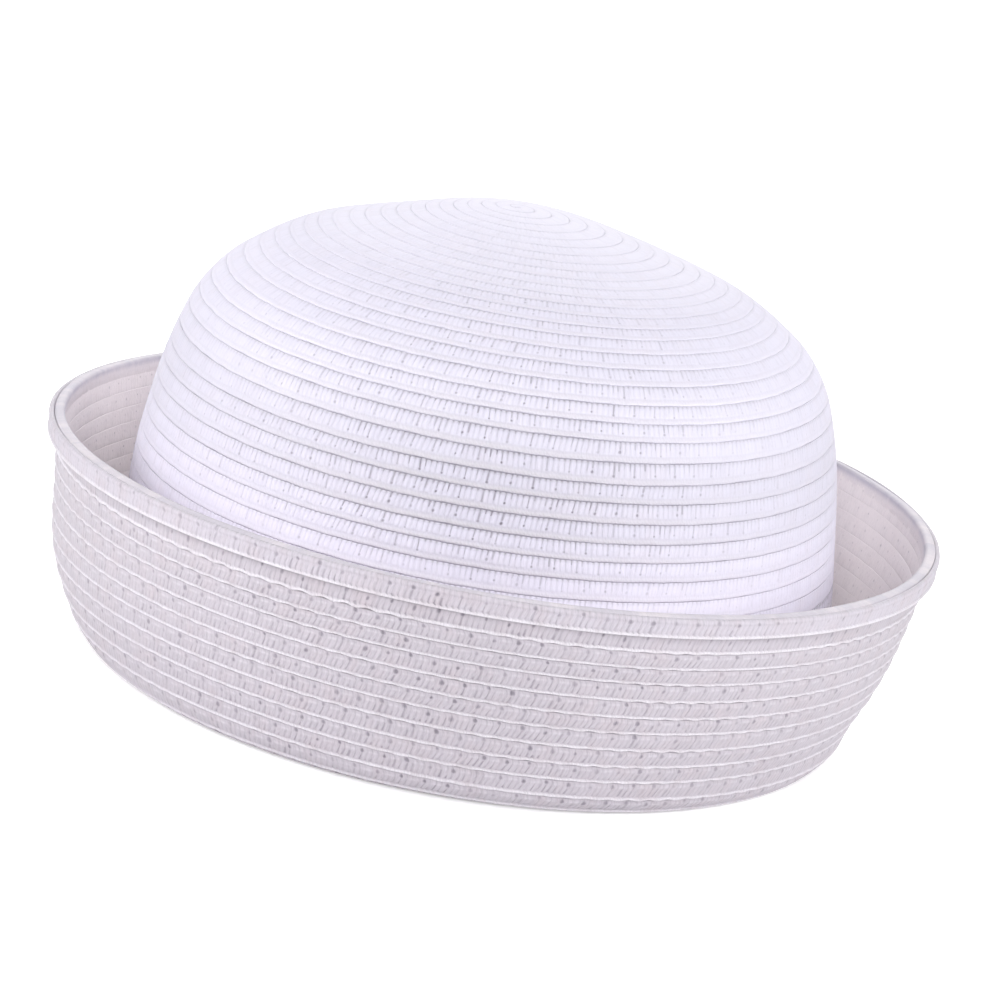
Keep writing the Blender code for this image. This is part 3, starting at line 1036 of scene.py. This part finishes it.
innerBandFace = {
    "below": [3.9, 3.4, 1.6, 0.45, -0.10, -0.35, -0.30, 0.00, 2.5],
    "proud": [-0.25, 0.06, 0.12, 0.20, 0.04, -0.60, -2.10, -2.40, -2.2],
    "slit": [0, 0.02, 0.02, 0.01, 0, 0, 0, 0, 0],
    "stitch": [0, 0.08, 0.04, 0.01, 0, 0, 0, 0, 0],
    "cord": [0, 0, 0.3, 1, 1, 1, 1, 1, 1],
    "phases": [0, 0.5],
    "calm": (1, 1),
    "side": 0,
    "outward": 1,
    "mapFoot": 9,    # past the strands
    "seed": 22,
}

# Where the pieces part, in turns of the braid
lastRow = lastTurn - 1.6      # the row under the rim band
braidEnd = lastTurn + 0.8     # runs out under the band
crownTurns = [braid["firstTurn"], 16, 24, 33]    # the last is out of sight in the gutter
brimTurns = [gutterTurn, 46, 50.5, lastRow]

# The node that a piece replaces, and its slot
crownNode = ("crown", "crown_straw")
brimNode = ("brim", "brim_straw")
rimNode = ("rim_braid", "rim_straw")

print("winding the braid")
for name, fromTurn, toTurn in zip(("crownTop", "crownShoulder", "crownWall"), crownTurns, crownTurns[1:]):
    windBraid(name, rightFace, fromTurn, toTurn, crownStraw, *crownNode)
windBraid("crownFoot", plainRightFace, crownTurns[-1], gutterTurn, crownStraw, *crownNode)
windBraid("crownInside", plainWrongFace, braid["firstTurn"], gutterTurn, insideStraw, *crownNode, every=2)
windBraid("brimInside", plainRightFace, gutterTurn, braidEnd, litGutterStraw, *brimNode)
for name, fromTurn, toTurn in zip(("brimFold", "brimLower", "brimUpper"), brimTurns, brimTurns[1:]):
    windBraid(name, wrongFace, fromTurn, toTurn, brimStraw, *brimNode)
windBraid("brimLastRow", wrongFace, lastRow, braidEnd, lastRowStraw, *brimNode)
roundBand("rimInner", innerBandFace, rimInnerStraw, *brimNode)
roundBand("rimBand", rimBandFace, rimStraw, *rimNode)

# Floor and light
studio = {
    "floorSize": 4.6,
    "floorColour": (1.0, 1.0, 1.0, 1),
    "floorRoughness": 0.9,
    "floorGloss": 0.1,
    "floorGlow": 0.12,
    "floorLift": 0.22,           # more glow that only the camera sees
    "skyColour": (0.985, 0.975, 1.0, 1),
    "skyStrength": 0.14,
    "backdrop": 1.0,             # what the camera sees past the floor
    "lights": [                  # name, place, size and watts
        ("topLight", (0.85, 0.3, 1.85), 1.4, 7.5),
        ("frontLight", (0.0, -1.75, 0.92), 0.9, 25),
        ("leftLight", (-1.9, -0.2, 0.7), 1.2, 26),
        ("leftHighLight", (-1.45, -0.2, 1.45), 1.4, 1.5),
        ("rightLight", (1.9, -0.2, 0.7), 1.2, 22),
        ("backLight", (0.0, 1.8, 1.1), 1.4, 24),
    ],
}


# Shows the camera one shader, while everything else is lit by the usual one.
def showCamera(tree, usual, shown, output):
    seen = addNode(tree, "LightPath", {}).outputs["Is Camera Ray"]
    both = addNode(tree, "MixShader", {0: seen, 1: usual.outputs[0], 2: shown.outputs[0]})
    tree.links.new(both.outputs[0], tree.nodes[output].inputs["Surface"])


def makeFloorPaper():
    paper = bpy.data.materials.new("floorPaper")
    paper.use_nodes = True
    tree = paper.node_tree
    shader = tree.nodes["Principled BSDF"]
    shader.inputs["Base Color"].default_value = studio["floorColour"]
    shader.inputs["Roughness"].default_value = studio["floorRoughness"]
    shader.inputs["Specular IOR Level"].default_value = studio["floorGloss"]
    shader.inputs["Emission Color"].default_value = studio["floorColour"]
    shader.inputs["Emission Strength"].default_value = studio["floorGlow"]
    lift = addNode(tree, "Emission", {"Color": studio["floorColour"], "Strength": studio["floorLift"]})
    lifted = addNode(tree, "AddShader", {0: shader.outputs[0], 1: lift.outputs[0]})
    showCamera(tree, shader, lifted, "Material Output")
    return paper


def makeFloor():
    half = studio["floorSize"] / 2
    corners = [(-half, -half, 0), (half, -half, 0), (half, half, 0), (-half, half, 0)]
    mesh = bpy.data.meshes.new("floor")
    mesh.from_pydata(corners, [], [(0, 1, 2, 3)])
    mesh.materials.append(makeFloorPaper())
    floor = bpy.data.objects.new("floor", mesh)
    bpy.context.scene.collection.objects.link(floor)


def makeSky():
    world = bpy.data.worlds.new("studioSky")
    world.use_nodes = True
    tree = world.node_tree
    sky = tree.nodes["Background"]
    sky.inputs["Color"].default_value = studio["skyColour"]
    sky.inputs["Strength"].default_value = studio["skyStrength"]
    backdrop = addNode(tree, "Background", {"Color": studio["floorColour"], "Strength": studio["backdrop"]})
    showCamera(tree, sky, backdrop, "World Output")
    bpy.context.scene.world = world


def makeLights():
    for name, place, size, watts in studio["lights"]:
        light = bpy.data.lights.new(name, "AREA")
        light.shape = "DISK"
        light.size = size
        light.energy = watts
        lamp = bpy.data.objects.new(name, light)
        lamp.location = place
        lamp.visible_camera = False
        lamp.rotation_euler = (-Vector(place)).to_track_quat("-Z", "Y").to_euler()
        bpy.context.scene.collection.objects.link(lamp)


view = {
    "elevation": math.radians(15),
    "roll": math.radians(9.8),   # the hat's right side lies lower in the picture
    "distance": 1.1,
    "target": (2.0 * mm, 0, 47.05 * mm),
    "lens": 158.4,
    "sensor": 36,
}


def makeCamera():
    data = bpy.data.cameras.new("camera")
    data.sensor_width = view["sensor"]
    data.lens = view["lens"]
    camera = bpy.data.objects.new("camera", data)
    lift = view["elevation"]
    away = Vector((0, -math.cos(lift), math.sin(lift))) * view["distance"]
    camera.location = Vector(view["target"]) + away
    turn = Matrix.Rotation(math.pi / 2 - lift, 4, "X") @ Matrix.Rotation(view["roll"], 4, "Z")
    camera.rotation_euler = turn.to_euler()
    bpy.context.scene.collection.objects.link(camera)
    bpy.context.scene.camera = camera


makeFloor()
makeSky()
makeLights()
makeCamera()
bpy.context.scene.view_settings.view_transform = "Standard"
print("studio ready")
